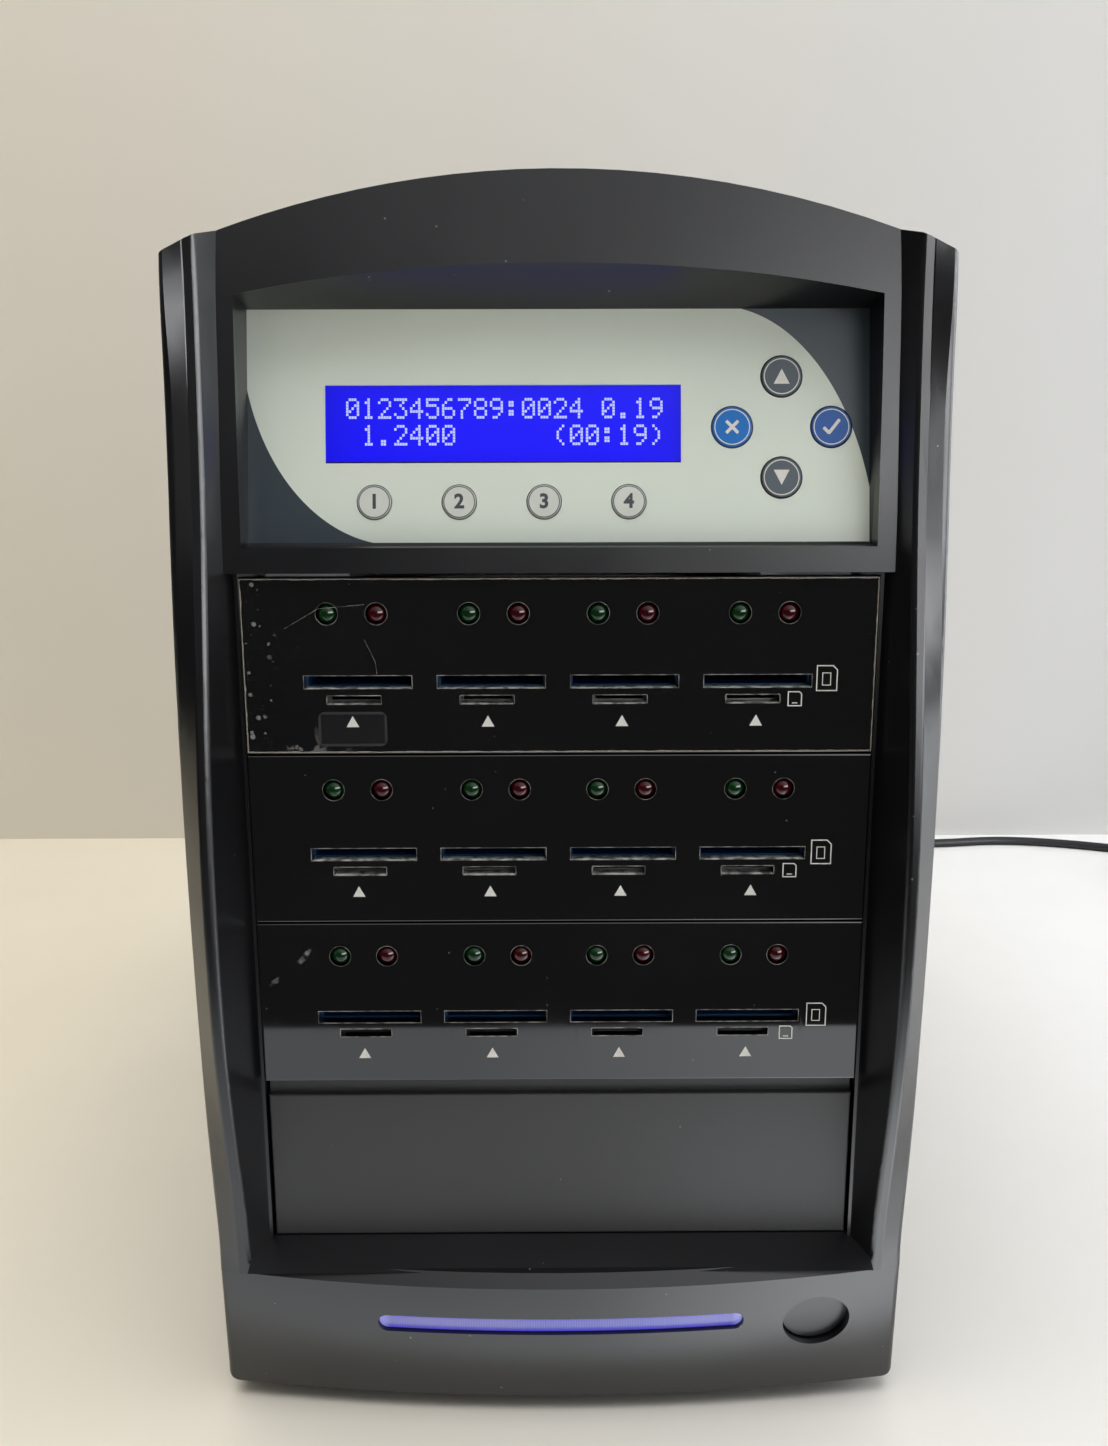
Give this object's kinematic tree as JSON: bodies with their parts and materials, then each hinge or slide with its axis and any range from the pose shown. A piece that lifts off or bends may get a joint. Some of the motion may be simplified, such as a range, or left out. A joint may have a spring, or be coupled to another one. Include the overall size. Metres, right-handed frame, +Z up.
{
  "type": "memory card duplicator",
  "caption": "Upright copier for memory cards: arched front with a tilted display panel and keys, rows of card slots with lamps, a blank bay, a light bar, a power button and a mains cord.",
  "frame": {"origin": "on the floor under the middle of the unit: midway between its sides, and midway between the front of the pillars and the rear of the thumb screws; the cord isn't counted", "axes": "+X to the right as the unit faces you, +Y towards its rear, +Z up; the front faces -Y"},
  "size_m": [0.503, 0.5033, 0.3058],
  "materials": {
    "bezel_black": "satin",
    "overlay_film": "satin",
    "inner_black": "matt",
    "display_blue": "gloss",
    "board_green": "satin",
    "board_brown": "satin",
    "key_blue": "gloss",
    "key_dark_blue": "gloss",
    "key_slate": "satin",
    "key_grey": "satin",
    "panel_gloss": "gloss",
    "zinc_steel": "satin",
    "bright_steel": "bright",
    "socket_blue": "satin",
    "led_green": "clear",
    "led_red": "clear",
    "blank_black": "matt",
    "light_bar_clear": "satin",
    "button_black": "satin",
    "case_paint": "satin",
    "heat_sink_alloy": "satin",
    "brass_posts": "satin",
    "rocker_black": "gloss",
    "rubber_black": "matt",
    "ribbon_grey": "satin",
    "wire_black": "satin",
    "cord_black": "satin"
  },
  "bodies": {
    "unit": {"front_bezel": "bezel_black", "panel_overlay": "overlay_film", "control_plate": "inner_black", "lcd_screen": "display_blue", "lcd_board": "board_green", "key_board": "board_green", "key_switches": "inner_black", "card_panel_1": "panel_gloss", "card_panel_2": "panel_gloss", "card_panel_3": "panel_gloss", "reader_tray_1": "zinc_steel", "reader_tray_2": "zinc_steel", "reader_tray_3": "zinc_steel", "reader_board_1": "board_green", "reader_board_2": "board_green", "reader_board_3": "board_green", "sd_sockets": "socket_blue", "micro_sockets": "bright_steel", "green_leds": "led_green", "red_leds": "led_red", "bay_blank": "blank_black", "light_bar": "light_bar_clear", "light_bar_board": "board_green", "power_switch": "inner_black", "chassis_frame": "zinc_steel", "case_cover": "case_paint", "bay_bracket_left": "zinc_steel", "bay_bracket_right": "zinc_steel", "board_shelf": "zinc_steel", "controller_board": "board_green", "controller_parts": "inner_black", "heat_sink": "heat_sink_alloy", "standoffs": "brass_posts", "supply_case": "zinc_steel", "supply_board": "board_brown", "fan_frame": "inner_black", "fan_guard": "bright_steel", "mains_inlet": "inner_black", "rocker_frame": "inner_black", "pan_screws": "bright_steel", "cover_screws": "bright_steel", "rubber_feet": "rubber_black", "reader_cables": "ribbon_grey", "panel_cable": "ribbon_grey", "wire_leads": "wire_black", "mains_connector": "cord_black", "mains_lead": "cord_black", "mains_coil": "cord_black", "mains_plug": "cord_black"},
    "cancel_key_body": {"cancel_key": "key_blue"},
    "confirm_key_body": {"confirm_key": "key_dark_blue"},
    "up_key_body": {"up_key": "key_slate"},
    "down_key_body": {"down_key": "key_slate"},
    "function_key_one_body": {"function_key_one": "key_grey"},
    "function_key_two_body": {"function_key_two": "key_grey"},
    "function_key_three_body": {"function_key_three": "key_grey"},
    "function_key_four_body": {"function_key_four": "key_grey"},
    "power_button_body": {"power_button": "button_black"},
    "mains_rocker_body": {"mains_rocker": "rocker_black"},
    "fan_rotor_body": {"fan_rotor": "inner_black"}
  },
  "joints": [
    {"name": "cancel_key_press", "type": "slide", "parent": "unit", "child": "cancel_key_body", "axis": [0, 0.9816, -0.1908], "range_m": [0, 0.0005], "stiffness_N_per_m": 1000, "springref_m": -0.0006},
    {"name": "confirm_key_press", "type": "slide", "parent": "unit", "child": "confirm_key_body", "axis": [0, 0.9816, -0.1908], "range_m": [0, 0.0005], "stiffness_N_per_m": 1000, "springref_m": -0.0006},
    {"name": "up_key_press", "type": "slide", "parent": "unit", "child": "up_key_body", "axis": [0, 0.9816, -0.1908], "range_m": [0, 0.0005], "stiffness_N_per_m": 1000, "springref_m": -0.0006},
    {"name": "down_key_press", "type": "slide", "parent": "unit", "child": "down_key_body", "axis": [0, 0.9816, -0.1908], "range_m": [0, 0.0005], "stiffness_N_per_m": 1000, "springref_m": -0.0006},
    {"name": "function_key_one_press", "type": "slide", "parent": "unit", "child": "function_key_one_body", "axis": [0, 0.9816, -0.1908], "range_m": [0, 0.0005], "stiffness_N_per_m": 1000, "springref_m": -0.0006},
    {"name": "function_key_two_press", "type": "slide", "parent": "unit", "child": "function_key_two_body", "axis": [0, 0.9816, -0.1908], "range_m": [0, 0.0005], "stiffness_N_per_m": 1000, "springref_m": -0.0006},
    {"name": "function_key_three_press", "type": "slide", "parent": "unit", "child": "function_key_three_body", "axis": [0, 0.9816, -0.1908], "range_m": [0, 0.0005], "stiffness_N_per_m": 1000, "springref_m": -0.0006},
    {"name": "function_key_four_press", "type": "slide", "parent": "unit", "child": "function_key_four_body", "axis": [0, 0.9816, -0.1908], "range_m": [0, 0.0005], "stiffness_N_per_m": 1000, "springref_m": -0.0006},
    {"name": "power_button_press", "type": "slide", "parent": "unit", "child": "power_button_body", "axis": [0, 1, 0], "range_m": [0, 0.002], "stiffness_N_per_m": 600, "springref_m": -0.002},
    {"name": "mains_rocker_tilt", "type": "hinge", "parent": "unit", "child": "mains_rocker_body", "pos_m": [0.041, 0.1563, 0.072], "axis": [-1, 0, 0], "range_deg": [0, 24]},
    {"name": "fan_spin", "type": "hinge", "parent": "unit", "child": "fan_rotor_body", "pos_m": [-0.023, 0.1465, 0.054], "axis": [0, 1, 0], "continuous": true}
  ]
}
